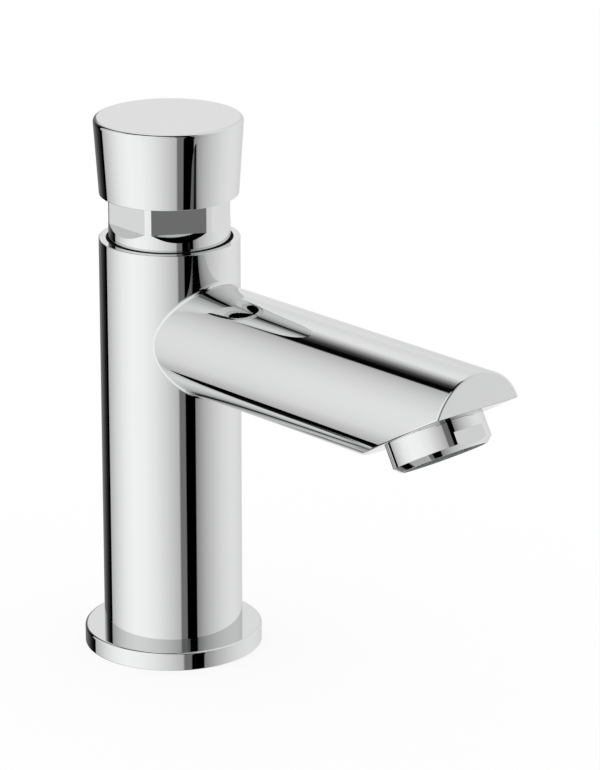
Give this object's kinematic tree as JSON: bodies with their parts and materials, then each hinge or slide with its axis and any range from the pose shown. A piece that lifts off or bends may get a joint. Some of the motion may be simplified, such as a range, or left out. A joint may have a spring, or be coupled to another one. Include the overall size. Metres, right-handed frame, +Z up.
{
  "type": "push timed tap",
  "caption": "Chromed basin tap: round column on a deck flange, angled spout with a tilted aerator, and a press-down timing button over a hexagonal bonnet.",
  "frame": {"origin": "on the column's axis at the deck, which is the underside of the flange", "axes": "+Z up along the column and the button's travel, +X along the spout towards its front face"},
  "size_m": [0.1456, 0.05, 0.1525],
  "materials": {
    "chrome_plated_brass": "polished",
    "nitrile_rubber": "matte",
    "stainless_steel": "satin",
    "bare_brass": "satin",
    "white_acetal": "satin",
    "grey_acetal": "matte"
  },
  "bodies": {
    "tap": {"column": "chrome_plated_brass", "spout": "chrome_plated_brass", "base_flange": "chrome_plated_brass", "base_gasket": "nitrile_rubber", "filter_frame": "white_acetal", "filter_mesh": "stainless_steel", "bonnet": "chrome_plated_brass", "bonnet_seal": "nitrile_rubber", "guide_bush": "white_acetal", "stem_o_ring": "nitrile_rubber", "timing_sleeve": "white_acetal", "sleeve_o_ring": "nitrile_rubber", "guide_plate": "white_acetal", "outlet_cage": "white_acetal", "valve_seat": "bare_brass", "seat_gasket": "nitrile_rubber", "return_spring": "stainless_steel", "aerator_housing": "chrome_plated_brass", "aerator_insert": "grey_acetal", "aerator_screen": "stainless_steel", "aerator_washer": "nitrile_rubber"},
    "push_button": {"push_cap": "chrome_plated_brass", "cap_lock_nut": "stainless_steel", "stem": "stainless_steel", "piston": "white_acetal", "piston_lip_seal": "nitrile_rubber", "piston_clip": "stainless_steel", "timing_jet": "bare_brass", "valve_washer": "nitrile_rubber", "valve_head": "bare_brass", "valve_nut": "bare_brass"}
  },
  "joints": [
    {"name": "button_push", "type": "slide", "parent": "tap", "child": "push_button", "axis": [0, 0, -1], "range_m": [0, 0.009], "stiffness_N_per_m": 900, "springref_m": -0.008, "deforming": ["return_spring"]}
  ]
}
